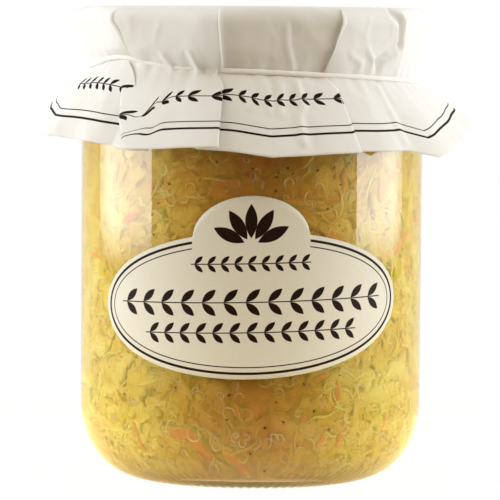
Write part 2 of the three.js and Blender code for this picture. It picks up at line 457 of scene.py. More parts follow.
def soft_normal(wires, place):
    """Mostly the wall's normal, on the side that the face looks to, with a little of the face's own."""
    right, forward, up = [wires.node("SeparateXYZ", values={"Vector": place}, output=axis) for axis in "XYZ"]
    below = (up - HEEL_TOP * MM).math("MINIMUM", 0.0) * HEEL_TURN
    outwards = wires.node("CombineXYZ", values={"X": right, "Y": forward, "Z": below})
    wall = wires.node("VectorMath", {"operation": "NORMALIZE"}, {0: outwards})
    own = wires.node("NewGeometry", output="Normal")
    flat = wires.node("NewGeometry", output="True Normal")
    agreement = wires.node("VectorMath", {"operation": "DOT_PRODUCT"}, {0: flat, 1: wall}, output="Value")
    facing = wires.node("VectorMath", {"operation": "SCALE"}, {0: wall, "Scale": agreement.math("SIGN")})
    both = wires.node("Mix", {"data_type": "VECTOR"}, {0: SOFTENING, 4: own, 5: facing}, output=1)
    return wires.node("VectorMath", {"operation": "NORMALIZE"}, {0: both})


def cabbage_finish(name, deep, pale, strength, translucency):
    """Soaked cabbage: each piece has its own tone in its middle, and its edges fade into the haze."""
    material, wires = new_finish(name)
    material.cycles.use_bump_map_correction = False
    place = wires.node("TexCoord", output="Object")
    tone = wires.node("Attribute", {"attribute_name": "tone"}, output="Fac")
    middle = wires.node("Attribute", {"attribute_name": "middle"}, output="Fac")
    veins = wires.node("TexNoise", values={"Vector": place, "Scale": VEIN_SCALE, "Detail": 3.0})
    own = (tone + veins * VEIN_CONTRAST - VEIN_CONTRAST / 2).mix(deep, pale)
    body_share = middle.smooth(*EDGE_FADE) * strength
    base = body_share.mix(haze_colour(wires, place), own)
    grain = wires.node("Bump", values={
        "Height": veins, "Strength": 0.1, "Distance": 0.0004, "Normal": soft_normal(wires, place)})
    body = wires.node("BsdfPrincipled", values={
        "Base Color": base, "Roughness": 0.5, "Normal": grain, "Specular IOR Level": 0.05})
    shadow_ray = wires.node("LightPath", output="Is Shadow Ray")
    passing = wires.node("BsdfTransparent", values={"Color": LIGHT_PASSED})
    shade = wires.node("MixShader", values={0: translucency, 1: body, 2: passing})
    put_out(wires, wires.node("MixShader", values={0: shadow_ray, 1: body, 2: shade}))
    return material


# Each finish: a darker and a lighter shade, how much of them shows over the haze, and how much light passes.
CABBAGE_SHADES = {
    # The core is a little deeper in colour than the shreds: partly painted shade in the gaps between them.
    "packed_cabbage_painted_shade": ((226, 186, 52), (240, 224, 80), 0.5, 0.0),
    "cabbage_flake": ((226, 196, 56), (246, 243, 120), 0.42, 0.97),
    "cabbage_leaf": ((236, 218, 84), (247, 244, 146), 0.44, 0.97),
    "cabbage_thread": ((240, 216, 78), (252, 247, 146), 0.6, 0.97),
    # Pale rings against the glass: painted highlights of small bubbles.
    "painted_bubble_glint": ((255, 238, 128), (255, 248, 168), 1.0, 0.95),
    "carrot": ((232, 144, 54), (246, 174, 82), 0.8, 0.8),
    "seed_speck": ((52, 30, 16), (84, 50, 24), 1.0, 0.0),
}

cabbage_finishes = {
    name: cabbage_finish(name, colour(*deep), colour(*pale), strength, translucency)
    for name, (deep, pale, strength, translucency) in CABBAGE_SHADES.items()
}
print("cabbage finishes:", *cabbage_finishes)

# %% [markdown]
# Behind the shreds that show there are only more shreds. A bumpy core closes the view into the jar:
# it is spun like the glass, its long sides are cut into rows, and noise moves its vertices in and
# out. It lies about as deep behind the glass as the liquid does, which is a millimetre at most.

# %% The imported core
CORE_DEPTH = 0.62
CORE_LEAST_DEPTH = 0.1
CORE_SPARE = 0.05
CORE_BUMP = 0.07
CORE_BELOW_FILL = 0.6
CORE_STEPS = 200
CORE_CUTS = 40
LONG_SIDE = 30
BUMPY_FROM = 20
TONE_SCALE = 0.2
BUMP_SCALE = 0.3
FINE_BUMP_SCALE = 0.8


def rise_of(edge):
    """How much higher one end of an edge is than the other."""
    return abs(edge.verts[0].co.z - edge.verts[1].co.z)


core_shape = spun([(0, FILL_LEVEL - CORE_BELOW_FILL)] + inner_wall(-CORE_LEAST_DEPTH), CORE_STEPS)
long_edges = [edge for edge in core_shape.edges if rise_of(edge) > LONG_SIDE]
bmesh.ops.subdivide_edges(core_shape, cuts=CORE_CUTS, use_grid_fill=True, edges=long_edges)
core_tone = core_shape.verts.layers.float.new("tone")
core_middle = core_shape.verts.layers.float.new("middle")
for vertex in core_shape.verts:
    out = Vector((vertex.co.x, vertex.co.y, 0))
    vertex[core_tone] = 0.5 + 0.6 * noise.noise(vertex.co * TONE_SCALE)
    vertex[core_middle] = 1.0
    if out.length > BUMPY_FROM:
        bump = noise.noise(vertex.co * BUMP_SCALE) + 0.5 * noise.noise(vertex.co * FINE_BUMP_SCALE)
        azimuth = math.atan2(out.x, -out.y)
        share = float(liquid_share(azimuth, vertex.co.z))
        sunk = CORE_DEPTH * share - CORE_LEAST_DEPTH + CORE_SPARE
        vertex.co += out.normalized() * (bump * CORE_BUMP * share - sunk)
# The core's finish is deeper than the shreds', which paints shade into the gaps between them.
piece_from_bmesh("packed_core", core_shape, cabbage_finishes["packed_cabbage_painted_shade"], "sauerkraut")

# %% [markdown]
# The cabbage is cut into shreds and flakes that bend, cross and lie flat against the glass. There
# are thousands of them, so they aren't modelled one by one: arrays hold a whole kind at once, with
# one row for each piece. Their paths are drawn as on a sheet unrolled from the wall. Each piece has
# a place and a heading, turns as it goes, and wanders a little from side to side.

# %% The paths of the shreds
ANY_PHASE = (0, 6.3)
SLOPE_SPREAD = 0.9
WANDER_RATE = 9


def shred_paths(draw, count, along, length, width, turn, levels, wander, places):
    """The places, headings, runs and climbs of bent paths, and the width of each piece."""
    column = (count, 1)
    lengths = draw.uniform(*length, column)
    slope = draw.normal(0, SLOPE_SPREAD, column)
    level = draw.uniform(*levels, column)
    azimuth = draw.uniform(0, math.tau, column)
    widths = draw.uniform(*width, column)
    for row, place in enumerate(places):
        azimuth[row] = math.radians(place[0])
        level[row] = place[1]
        slope[row] = math.radians(place[2])
        lengths[row] = place[3]
        widths[row] = place[4]
    heading = slope + draw.choice([-1, 1], column) * draw.uniform(*turn, column) * along
    swing = draw.normal(0, wander, column)
    heading = heading + swing * np.sin(along * WANDER_RATE + draw.uniform(*ANY_PHASE, column))
    steps = len(along) - 1
    run = np.cumsum(np.cos(heading) * lengths / steps, axis=1)
    climb = np.cumsum(np.sin(heading) * lengths / steps, axis=1)
    run -= run.mean(axis=1, keepdims=True)
    climb -= climb.mean(axis=1, keepdims=True)
    return (azimuth, level, heading, run, climb), widths


print("places on the wall:", round(math.tau * INNER_RADIUS), "mm round the jar")

# %% [markdown]
# A shred is flat: its section has four corners, two at its edges and two on its faces, and it
# tapers to both ends. Along its way it dips a little deeper into the brine and comes up again, it
# rolls, and its width is uneven.

# %% The sections of the shreds
DIP = 0.15
DIP_RATE = 6
UNEVENNESS = 0.3
UNEVEN_RATES = (5, 14)
END_TAPER = 0.92
TAPER_POWER = 2.6


def shred_sections(draw, count, along, widths, thickness, depth, roll, ragged, placed):
    """How deep the pieces lie, how they roll, and half their width and thickness, all along their paths."""
    column = (count, 1)
    sunk = draw.uniform(*depth, column)
    sunk[:placed] = 0
    dip = DIP * depth[1] * draw.normal(0, 1, column)
    sunk = sunk + dip * np.sin(along * DIP_RATE + draw.uniform(*ANY_PHASE, column))
    twist = draw.normal(0, roll, column) + draw.normal(0, roll, column) * along
    rate = draw.uniform(*UNEVEN_RATES, column)
    uneven = 1 + UNEVENNESS * np.sin(along * rate + draw.uniform(*ANY_PHASE, column))
    uneven = uneven * (1 + ragged * draw.uniform(-1, 1, (count, len(along))))
    taper = 1 - END_TAPER * np.abs(2 * along) ** TAPER_POWER
    half_width = widths / 2 * taper * uneven
    half_depth = draw.uniform(*thickness, column) / 2 * taper
    return sunk, twist, half_width, half_depth


WALL_CLEARANCE = 0.03
LOWEST_SHRED = BASE_THICKNESS + 0.6
HIGHEST_SHRED = FILL_LEVEL - 0.4


def shred_corners(path, section, least_depth):
    """The corners of all sections, laid round the inside of the glass."""
    azimuth, level, heading, run, climb = path
    sunk, twist, half_width, half_depth = section
    share = liquid_share(azimuth + run / INNER_RADIUS, level + climb)
    middle_depth = np.maximum(sunk * share, least_depth)
    rise = half_width * twist * share
    aside = np.stack([half_width, 0 * half_width, -half_width, 0 * half_width], axis=2)
    lift = np.stack([rise, half_depth, -rise, -half_depth], axis=2)
    heading, run, climb, middle_depth = [row[:, :, None] for row in (heading, run, climb, middle_depth)]
    azimuth = azimuth[:, :, None] + (run + aside * np.sin(heading)) / INNER_RADIUS
    height = level[:, :, None] + climb - aside * np.cos(heading)
    height = np.clip(height, LOWEST_SHRED, HIGHEST_SHRED)
    reach = wall_reach(height) - WALL_CLEARANCE - np.maximum(middle_depth - lift, 0)
    return np.stack([reach * np.sin(azimuth), -reach * np.cos(azimuth), height], axis=3).reshape(-1, 3)


print("shreds lie from", LOWEST_SHRED, "to", round(HIGHEST_SHRED, 1), "mm up")

# %% [markdown]
# One mesh holds a whole kind. An operator would have to run once for every strip, which is slow for
# thousands of them, so the faces between neighbouring sections are counted out as arrays. Every
# strip is closed at its ends.

# %% Many shreds as one mesh
SECTION = 4
FADE_POWER = 4


def strip_faces(count, steps):
    """The corners of each face: the sides between sections, and both ends of every strip."""
    strip = np.arange(count)[:, None] * (steps + 1) * SECTION
    first = strip[:, :, None] + np.arange(steps)[None, :, None] * SECTION
    side = np.arange(SECTION)[None, None, :]
    next_side = (side + 1) % SECTION
    beyond = first + SECTION
    sides = np.stack([first + side, first + next_side, beyond + next_side, beyond + side], axis=3)
    ends = np.concatenate([strip + [3, 2, 1, 0], strip + steps * SECTION + [0, 1, 2, 3]])
    return np.concatenate([sides.reshape(-1, SECTION), ends])


def shred_mesh(
        name, count, seed, length, width, thickness, depth, turn, levels,
        roll=0.12, steps=8, wander=0.4, ragged=0.0, fades=True, places=()):
    """One mesh of bent strips. Pairs hold the least and greatest of a size in mm or a turn in radians."""
    draw = np.random.default_rng(seed)
    along = np.linspace(-0.5, 0.5, steps + 1)
    path, widths = shred_paths(draw, count, along, length, width, turn, levels, wander, places)
    section = shred_sections(draw, count, along, widths, thickness, depth, roll, ragged, len(places))
    corners = shred_corners(path, section, thickness[1] / 2)
    mesh = bpy.data.meshes.new(name)
    mesh.from_pydata(corners * MM, [], strip_faces(count, steps))
    tone = np.repeat(draw.uniform(0, 1, count), (steps + 1) * SECTION)
    middle = np.ones((steps + 1, SECTION))
    if fades:
        middle = np.array([0.0, 1.0, 0.0, 1.0]) * (1 - np.abs(2 * along) ** FADE_POWER)[:, None]
    for attribute, values in (("tone", tone), ("middle", np.tile(middle.ravel(), count))):
        layer = mesh.attributes.new(attribute, "FLOAT", "POINT")
        layer.data.foreach_set("value", values.astype(np.float32))
    return mesh


print("faces of a strip of 8 steps:", len(strip_faces(1, 8)))

# %% [markdown]
# Flakes and bits cover the core, leaves lie before them lower down, and threads are the thin
# shreds. The bubble glints are painted highlights: pale curls that stand in for the light that
# small bubbles catch against the glass. Strips of carrot and dark specks of seed give the spots
# of colour. All places come from seeded draws, but for the carrot strips in front, which are listed.

# %% The shreds of each kind
# Carrot strips that show in front: azimuth, height, slope in degrees, length and width.
CARROT_PLACES = [
    (-20.7, 12.5, -30, 17, 5.4), (-4.8, 8.6, -44, 10, 5.0), (-4.2, 20.8, -60, 6, 2.6),
    (-66, 10, -60, 6, 2.2), (32.8, 77.4, 88, 6, 1.8), (-35.6, 75.4, 80, 4, 1.6),
    (30.4, 24.5, 80, 8, 2.4), (18.5, 18.9, 60, 4, 2.0), (25.6, 13, 50, 4.5, 2.2),
    (53, 16.5, 75, 6, 2.2), (33, 13.6, 70, 5, 2.2),
]
KINDS = [
    ("cabbage_flakes", "cabbage_flake", dict(
        count=1800, seed=3, length=(6, 15), width=(2.4, 6.0), thickness=(0.04, 0.08), depth=(0.42, 0.58),
        turn=(0, 1.6), levels=(5, 105), roll=0.025, ragged=0.3)),
    ("cabbage_bits", "cabbage_flake", dict(
        count=2400, seed=4, length=(3, 8), width=(1.2, 3.6), thickness=(0.03, 0.06), depth=(0.37, 0.53),
        turn=(0, 2.2), levels=(5, 105), roll=0.04, ragged=0.35, steps=7)),
    ("cabbage_leaves", "cabbage_leaf", dict(
        count=420, seed=6, length=(7, 15), width=(4.5, 9.0), thickness=(0.03, 0.06), depth=(0.3, 0.45),
        turn=(0, 1.0), levels=(5, 70), roll=0.015, ragged=0.35, steps=10)),
    ("cabbage_threads", "cabbage_thread", dict(
        count=1500, seed=5, length=(4, 13), width=(0.3, 0.8), thickness=(0.06, 0.1), depth=(0.15, 0.4),
        turn=(0, 3.0), levels=(5, 105), roll=0.1)),
    # Pale rings against the glass: painted highlights of small bubbles.
    ("painted_bubble_glints", "painted_bubble_glint", dict(
        count=1000, seed=7, length=(2.6, 8), width=(0.2, 0.38), thickness=(0.06, 0.1), depth=(0.0, 0.05),
        turn=(4.4, 6.2), levels=(6, 100), steps=14, wander=0.15, fades=False)),
    ("carrot_strips", "carrot", dict(
        count=60, seed=11, length=(4, 14), width=(1.4, 2.8), thickness=(0.1, 0.18), depth=(0.05, 0.25),
        turn=(0, 0.5), levels=(8, 95), wander=0.15, places=CARROT_PLACES)),
    ("seed_specks", "seed_speck", dict(
        count=420, seed=13, length=(0.5, 1.0), width=(0.35, 0.6), thickness=(0.12, 0.2), depth=(0.0, 0.05),
        turn=(0, 0.2), levels=(5, 100), steps=3, fades=False)),
]

for name, finish, sizes in KINDS:
    piece_from_mesh(name, shred_mesh(name, **sizes), cabbage_finishes[finish], "sauerkraut")

# %% [markdown]
# The cap is tinplate, lacquered in a pale colour. Almost all of it is under the paper, and its edge
# shows only from below. Its profile is spun like the glass, with a curled lower edge.

# %% The metal cap
CAP_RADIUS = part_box("metal_cap")[1].x / MM
CAP_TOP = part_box("metal_cap")[1].z / MM
CAP_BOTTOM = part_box("metal_cap")[0].z / MM
CAP_WALL = 0.8
CAP_CORNER = 1.8
CAP_GAP = 0.3
CAP_INNER_CORNER = 1
CURL_STEPS = 12
CORNER_STEPS = 10


def metal_finish():
    """Lacquered tinplate with faint scuffs."""
    material, wires = new_finish("lacquered_tinplate")
    place = wires.node("TexCoord", output="Object")
    scuffs = wires.node("TexNoise", values={"Vector": place, "Scale": 400.0, "Detail": 4.0})
    base = scuffs.mix(colour(214, 206, 184), colour(238, 232, 214))
    put_out(wires, wires.node("BsdfPrincipled", values={
        "Base Color": base, "Metallic": 0.4, "Roughness": scuffs * 0.3 + 0.2, "Coat Weight": 0.4}))
    return material


inside = CAP_RADIUS - CAP_WALL
underside = JAR_HEIGHT + CAP_GAP
cap_profile = [(0, underside)]
cap_profile += [(inside - CAP_INNER_CORNER, underside), (inside, underside - CAP_INNER_CORNER)]
cap_profile += arc((inside, CAP_BOTTOM + CAP_WALL), CAP_WALL, CAP_WALL, 180, 360, CURL_STEPS)
corner_middle = (CAP_RADIUS - CAP_CORNER, CAP_TOP - CAP_CORNER)
cap_profile += arc(corner_middle, CAP_CORNER, CAP_CORNER, 0, 90, CORNER_STEPS)
cap_profile += [(0, CAP_TOP)]
piece_from_bmesh("tin_cap", spun(cap_profile), metal_finish(), "metal_cap")

# %% [markdown]
# The paper cover began as a flat sheet. Pushed over the cap and tied, it has too much paper all
# round, which goes into sharp pleats and small gathers, and between the pleats it stands in flat
# panels. A cloth simulation gives soft rounded folds, so the sheet is a fine grid instead, whose
# vertices are moved by what the paper does: over the cap, in to the tie, out to the skirt, and at
# each pleat forwards, back and forwards again in three layers.

# %% How the sheet hangs
PAPER_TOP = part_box("paper_cover")[1].z / MM
PAPER_COLUMNS = 620
PAPER_ROWS = 74
# Shares of the way from the sheet's middle to its edge, where the flat top, its corner and the crown end.
TOP_SHARE = 0.12
CORNER_SHARE = 0.28
TIE_SHARE = 0.5
FLAT_RADIUS = 42.0
PUFF_HEIGHT = 115.6
CAP_CREASE_HEIGHT = 108.7
CAP_CREASE_SHARE = 0.4
TIE_RADIUS = 41.5
TIE_HEIGHT = 102.6
TIE_TILT = 1.9
TIE_TILT_AZIMUTH = -60
TIE_HUMP = 2.3
TIE_HUMP_AZIMUTH = -50
TIE_HUMP_WIDTH = 16
print("paper from", round(PAPER_TOP, 1), "mm down to the tie at about", TIE_HEIGHT, "mm")

# %% [markdown]
# Each fold of a gathered sheet is different, so those that give this cover its look are listed by
# where they lie. Azimuths are in degrees from the middle of the front, positive to the right, and
# all other sizes are millimetres.

# %% Ridges, edge, pleats and creases
# Ridges between the flat panels round the cap: azimuth and distance from the axis.
RIDGES = [
    (-162, 45.8), (-125, 45.7), (-88, 46.6), (-48, 45.7), (-10, 46.9),
    (27, 46.2), (55, 45.6), (90, 45.0), (126, 45.8), (160, 45.8),
]
# The cut edge of the skirt: azimuth, distance from the axis and height.
EDGE = [
    (-180, 54.4, 84.8), (-152, 55.0, 84.4), (-127, 56.0, 85.0), (-108, 55.4, 91.0), (-90, 55.2, 90.4),
    (-69, 55.2, 87.6), (-57, 54.5, 86.8), (-49, 54.0, 86.4), (-39, 53.4, 85.4), (-34, 54.8, 84.4),
    (-24, 55.2, 85.0), (-14, 55.0, 85.7), (-8, 54.4, 85.0), (5, 54.0, 83.3), (16, 53.8, 83.8),
    (27, 54.4, 84.6), (36, 54.4, 84.6), (45, 54.2, 84.6), (54, 56.2, 82.9), (72, 55.8, 87.2),
    (88, 55.2, 90.7), (106, 55.0, 91.0), (124, 55.8, 85.0), (140, 54.6, 84.8), (160, 54.8, 84.4),
]
# Pleats: azimuths at the top, the tie and the edge, how far the layers overlap, how far the upper layer
# stands out, and whether the upper layer lies to the right (1) or the left (-1) of its fold.
CROWN_PLEATS = [
    (-48, -42, -42, 2.6, 0.9, 1), (-10, -9.5, -9.5, 1.6, 2.4, -1), (28.5, 24.5, 24.5, 2.6, 1.2, 1),
    (128, 126, 126, 2.6, 1.0, -1), (163, 160, 160, 2.6, 1.0, 1), (-160, -160, -160, 2.6, 1.0, -1),
    (-124, -122, -122, 2.6, 1.0, 1),
]
SKIRT_PLEATS = [
    (-46.5, -46.5, -29.5, 5.0, 1.6, 1), (-12, -12, -11, 5.0, 1.6, -1), (25.5, 25.5, 26.5, 4.0, 1.5, -1),
    (126, 126, 122, 5.0, 1.4, 1), (158, 158, 154, 5.4, 1.5, -1), (-155, -155, -150, 5.0, 1.3, 1),
    (-122, -122, -118, 5.0, 1.5, -1),
]
# Creases: how far each stands out, how wide it is, and its path of azimuths and heights.
CREASES = [
    (0.5, 1.3, [(10.7, 114.5), (11, 109.8), (13.4, 104.2)]),
    (0.4, 3.0, [(14.5, 116), (19, 112.5), (23.5, 109)]),
    (0.7, 1.5, [(14.3, 101), (14.8, 95.5), (13.2, 93), (13.4, 87)]),
    (0.5, 1.3, [(-1, 101), (-0.5, 95)]),
    (0.5, 1.4, [(4, 100.5), (5, 94)]),
    (0.5, 1.3, [(9, 100), (8, 93.5)]),
    (-1.8, 1.8, [(50.3, 117.9), (54, 116), (55.8, 110.2), (48.8, 107.8), (45.2, 106)]),
    (0.5, 1.0, [(33, 107.5), (38, 105.5)]),
    (0.5, 1.0, [(40, 108.5), (44, 105.5)]),
    (0.5, 1.2, [(-30, 107), (-27, 104.5)]),
    (0.5, 1.2, [(-20, 108), (-17.5, 104)]),
    (0.4, 1.6, [(45, 100), (45, 87)]),
]
print(len(CROWN_PLEATS) + len(SKIRT_PLEATS), "pleats and", len(CREASES), "creases")

# %% [markdown]
# These helpers turn the lists into values for any azimuth. Between two ridges the paper is a flat
# panel, whose distance from the axis follows from the straight line between them, and the cut edge
# is read off between its points.

# %% Round the sheet
def turn_between(start, end):
    """How far one azimuth lies from another, from -180 to 180 degrees."""
    return (end - start + 180) % 360 - 180


def bell(distance, width):
    """Falls softly from 1 to 0 as a distance grows past a width."""
    return np.exp(-((distance / width) ** 2))


def ease(value, low, high):
    """Goes from 0 to 1 between two values, with soft ends."""
    share = np.clip((value - low) / (high - low), 0, 1)
    return share * share * (3 - 2 * share)


def tie_level(azimuth):
    """The height of the elastic round the neck."""
    tilt = TIE_TILT * np.cos(np.radians(azimuth - TIE_TILT_AZIMUTH))
    return TIE_HEIGHT + tilt + TIE_HUMP * bell(turn_between(TIE_HUMP_AZIMUTH, azimuth), TIE_HUMP_WIDTH)


def panel_reach(azimuth):
    """The distance from the axis to flat panels that stand between the ridges."""
    reach = np.zeros_like(azimuth)
    for (left, left_reach), (right, right_reach) in zip(RIDGES, RIDGES[1:] + RIDGES[:1]):
        span = (right - left) % 360
        past = (azimuth - left) % 360
        inside_panel = past <= span
        chord = left_reach * np.sin(np.radians(past)) + right_reach * np.sin(np.radians(span - past))
        on_panel = left_reach * right_reach * math.sin(math.radians(span)) / chord
        reach = np.where(inside_panel, on_panel, reach)
    return reach


edge_azimuths, edge_reaches, edge_heights = zip(*EDGE)


def edge_reach(azimuth):
    """The distance from the axis to the cut edge."""
    return np.interp(azimuth, edge_azimuths, edge_reaches, period=360)


def edge_level(azimuth):
    """The height of the cut edge."""
    return np.interp(azimuth, edge_azimuths, edge_heights, period=360)


def waves(azimuth, counts, seed):
    """A sum of sine waves round the jar, from -1 to 1 or so."""
    draw = random.Random(seed)
    turns = [np.radians(azimuth * count) + draw.uniform(*ANY_PHASE) for count in counts]
    return sum(np.sin(turn) for turn in turns) / len(counts)


print("lowest point of the cut edge:", min(edge_heights), "mm up")

# %% [markdown]
# A pleat pulls the paper of both its sides over the fold, so that three layers lie there, and one
# side stands out over the other. A crease is narrower: it lifts the paper only beside a line, and
# falls off straight to both sides as stiff paper does.

# %% Pleats and creases
DEGREE_WIDTH = 0.8
PLEAT_WIDTH = 2.2
PLEAT_REACH = 24
PLEAT_SHARPNESS = 1.6


def pleat_line(pleat, down):
    """The azimuth of a pleat at shares of the way down the sheet."""
    top, tie, edge = pleat[:3]
    return np.interp(down, [CORNER_SHARE, TIE_SHARE, 1], [top, tie, edge])


def pleat_moves(azimuth, down, pleats, weight):
    """How far pleats move the sheet round the jar, in degrees, and outwards, in millimetres."""
    round_jar = np.zeros_like(azimuth)
    outwards = np.zeros_like(azimuth)
    for pleat in pleats:
        overlap, lift, side = pleat[3:]
        apart = turn_between(pleat_line(pleat, down), azimuth)
        share = apart / PLEAT_WIDTH
        round_jar += -weight * overlap * share * np.exp(0.5 - share * share / 2)
        fade = np.exp(-np.abs(apart) / PLEAT_REACH)
        outwards += weight * lift * (0.5 + 0.5 * np.tanh(PLEAT_SHARPNESS * side * share)) * fade
    return round_jar, outwards


def creases(azimuth, height):
    """How far the creases move points outwards: each is sharp on its path and fades out beside it."""
    outwards = np.zeros_like(azimuth)
    spot = np.stack([azimuth * DEGREE_WIDTH, height], axis=1)
    for stands_out, width, path in CREASES:
        corners = np.array(path) * [DEGREE_WIDTH, 1]
        nearest = np.full(len(spot), np.inf)
        for start, end in zip(corners, corners[1:]):
            run = end - start
            share = np.clip((spot - start) @ run / (run @ run), 0, 1)
            nearest = np.minimum(nearest, np.linalg.norm(spot - start - share[:, None] * run, axis=1))
        outwards += stands_out * np.clip(1 - nearest / width, 0, 1)
    return outwards


print("a pleat is about", 2 * PLEAT_WIDTH, "degrees wide")

# %% [markdown]
# The sheet's grid has a column for each azimuth and a row for each share of the way from its middle
# to its edge. The function below takes the rows over the flat top, round the corner, down the side
# with a crease where the cap ends, in to the tie and out to the edge. Then it adds pleats, the
# small gathers beside the tie, the flutes of the skirt and the creases, and it keeps the paper
# outside the cap.

# %% The points of the sheet
PAPER_SINK = 0.1
SKIRT_OUT_POWER = 0.92
SKIRT_DOWN_POWER = 1.06
CROWN_PLEATS_START = (0.12, 0.24)
CROWN_PLEATS_END = (0.46, 0.56)
SKIRT_PLEATS_START = (0.46, 0.62)
GATHER_DEPTH = 0.35
GATHER_COUNTS = (37, 53, 71)
GATHERS_START = (0.3, 0.4)
GATHERS_ABOVE_TIE = 0.04
GATHERS_BELOW_TIE = 0.1
FLUTE_DEPTH = 0.9
FLUTE_COUNTS = (9, 14, 21)
BELOW_CAP = 0.8
OUTSIDE_CAP = 0.5


def sheet_points(azimuth, down):
    """Where points of the sheet lie, from their azimuth and their share of the way from middle to edge."""
    tie = tie_level(azimuth)
    puff = panel_reach(azimuth)
    flat = np.clip(down / TOP_SHARE, 0, 1)
    corner = np.radians(90 * np.clip((down - TOP_SHARE) / (CORNER_SHARE - TOP_SHARE), 0, 1))
    side = np.clip((down - CORNER_SHARE) / (TIE_SHARE - CORNER_SHARE), 0, 1)
    crease = (PUFF_HEIGHT - CAP_CREASE_HEIGHT) / (PUFF_HEIGHT - tie)
    above = CAP_CREASE_SHARE * side / crease
    below = CAP_CREASE_SHARE + (1 - CAP_CREASE_SHARE) * (side - crease) / (1 - crease)
    skirt = np.clip((down - TIE_SHARE) / (1 - TIE_SHARE), 0, 1)
    reach = FLAT_RADIUS * flat
    height = np.full_like(reach, PAPER_TOP - PAPER_SINK)
    reach = reach + (puff - FLAT_RADIUS) * np.sin(corner)
    height = height - (PAPER_TOP - PAPER_SINK - PUFF_HEIGHT) * (1 - np.cos(corner))
    reach = reach + (TIE_RADIUS - puff) * np.where(side < crease, above, below)
    height = height + (tie - PUFF_HEIGHT) * side
    reach = reach + (edge_reach(azimuth) - TIE_RADIUS) * skirt ** SKIRT_OUT_POWER
    height = height + (edge_level(azimuth) - tie) * skirt ** SKIRT_DOWN_POWER
    crown_weight = ease(down, *CROWN_PLEATS_START) * (1 - ease(down, *CROWN_PLEATS_END))
    skirt_weight = ease(down, *SKIRT_PLEATS_START)
    crown_turn, crown_lift = pleat_moves(azimuth, down, CROWN_PLEATS, crown_weight)
    skirt_turn, skirt_lift = pleat_moves(azimuth, down, SKIRT_PLEATS, skirt_weight)
    above_tie = (TIE_SHARE - down) / GATHERS_ABOVE_TIE
    below_tie = (down - TIE_SHARE) / GATHERS_BELOW_TIE
    near_tie = np.exp(-np.where(down < TIE_SHARE, above_tie, below_tie))
    gathers = GATHER_DEPTH * waves(azimuth, GATHER_COUNTS, 1) * near_tie * ease(down, *GATHERS_START)
    flutes = FLUTE_DEPTH * waves(azimuth, FLUTE_COUNTS, 2) * skirt
    reach = reach + crown_lift + skirt_lift * skirt + gathers + flutes + creases(azimuth, height)
    over_cap = (height > CAP_BOTTOM - BELOW_CAP) & (down > CORNER_SHARE)
    reach = np.where(over_cap, np.maximum(reach, CAP_RADIUS + OUTSIDE_CAP), reach)
    turn = np.radians(azimuth + crown_turn + skirt_turn)
    return np.stack([reach * np.sin(turn), -reach * np.cos(turn), height], axis=1)


paper_shape = bmesh.new()
bmesh.ops.create_grid(paper_shape, x_segments=PAPER_COLUMNS, y_segments=PAPER_ROWS, size=0.5)
shares = np.array([vertex.co[:2] for vertex in paper_shape.verts]) + 0.5
sheet_azimuth = shares[:, 0] * 360 - 180
sheet_down = shares[:, 1]
sheet = sheet_points(sheet_azimuth, sheet_down)
print("paper sheet:", len(sheet), "points, reach", np.hypot(sheet[:, 0], sheet[:, 1]).max().round(1))

# %% [markdown]
# Handled paper is never quite smooth. Noise gives it soft swells, and the borders between Voronoi
# cells give it sharp little ridges. They are small moves of the vertices and not a bump in the
# finish, so the outline shows them too.

# %% Crumples
CRUMPLE = 0.1
SWELL_SCALE = 0.11
FINE_SWELL_SCALE = 0.31
FACET_SCALE = 0.13
RIDGE_SHARPNESS = 4
RIDGE_SHARE = 1.2
TOP_CRUMPLE_SHARE = 0.4
SIDES_FROM = FLAT_RADIUS + 0.5


def crumple(point):
    """How far crumpled paper stands out at a point: soft swells and sharp little ridges."""
    spot = Vector(point)
    swell = noise.noise(spot * SWELL_SCALE) + 0.5 * noise.noise(spot * FINE_SWELL_SCALE)
    near, next_near = noise.voronoi(spot * FACET_SCALE)[0][:2]
    ridge = 1 - min((next_near - near) * RIDGE_SHARPNESS, 1)
    return CRUMPLE * (swell + RIDGE_SHARE * ridge)


for vertex, point in zip(paper_shape.verts, sheet):
    bump = crumple(point)
    away = Vector((point[0], point[1], 0))
    if away.length > SIDES_FROM:
        vertex.co = Vector(point) + away.normalized() * bump
    else:
        vertex.co = Vector(point) + Vector((0, 0, TOP_CRUMPLE_SHARE * bump))
print("paper crumpled")

# %% [markdown]
# Two printed lines follow the cut edge. They need to know how far each point is from that edge
# along the sheet, so the grid's UV map holds it: U goes round the jar and V is that distance in
# decimetres, measured down each column.

# %% The sheet's UV map
# How many millimetres one unit of a UV map stands for.
UV_SPAN = 100

by_cell = np.round(shares * [PAPER_COLUMNS, PAPER_ROWS]).astype(int)
order = np.lexsort((by_cell[:, 1], by_cell[:, 0]))
placed = sheet[order].reshape(PAPER_COLUMNS + 1, PAPER_ROWS + 1, 3)
runs = np.linalg.norm(np.diff(placed, axis=1), axis=2)
to_edge = np.zeros((PAPER_COLUMNS + 1, PAPER_ROWS + 1))
to_edge[:, :-1] = runs[:, ::-1].cumsum(axis=1)[:, ::-1]
sheet_uv = paper_shape.loops.layers.uv.new("sheet")
for face in paper_shape.faces:
    for loop in face.loops:
        cell = by_cell[loop.vert.index]
        loop[sheet_uv].uv = (cell[0] / PAPER_COLUMNS, to_edge[cell[0], cell[1]] / UV_SPAN)
bmesh.ops.remove_doubles(paper_shape, verts=paper_shape.verts[:], dist=1e-3)
bmesh.ops.recalc_face_normals(paper_shape, faces=paper_shape.faces[:])
print("longest way from the middle of the sheet to its edge:", to_edge.max().round(1), "mm")

# %% [markdown]
# The printing is drawn by the finish itself, as masks that are 1 where there is ink: a line is a
# distance between two limits, and a leaf is the space between two parabolas. A Wrap node repeats
# one pair of leaves along a stem, so a whole garland costs no more than two leaves.

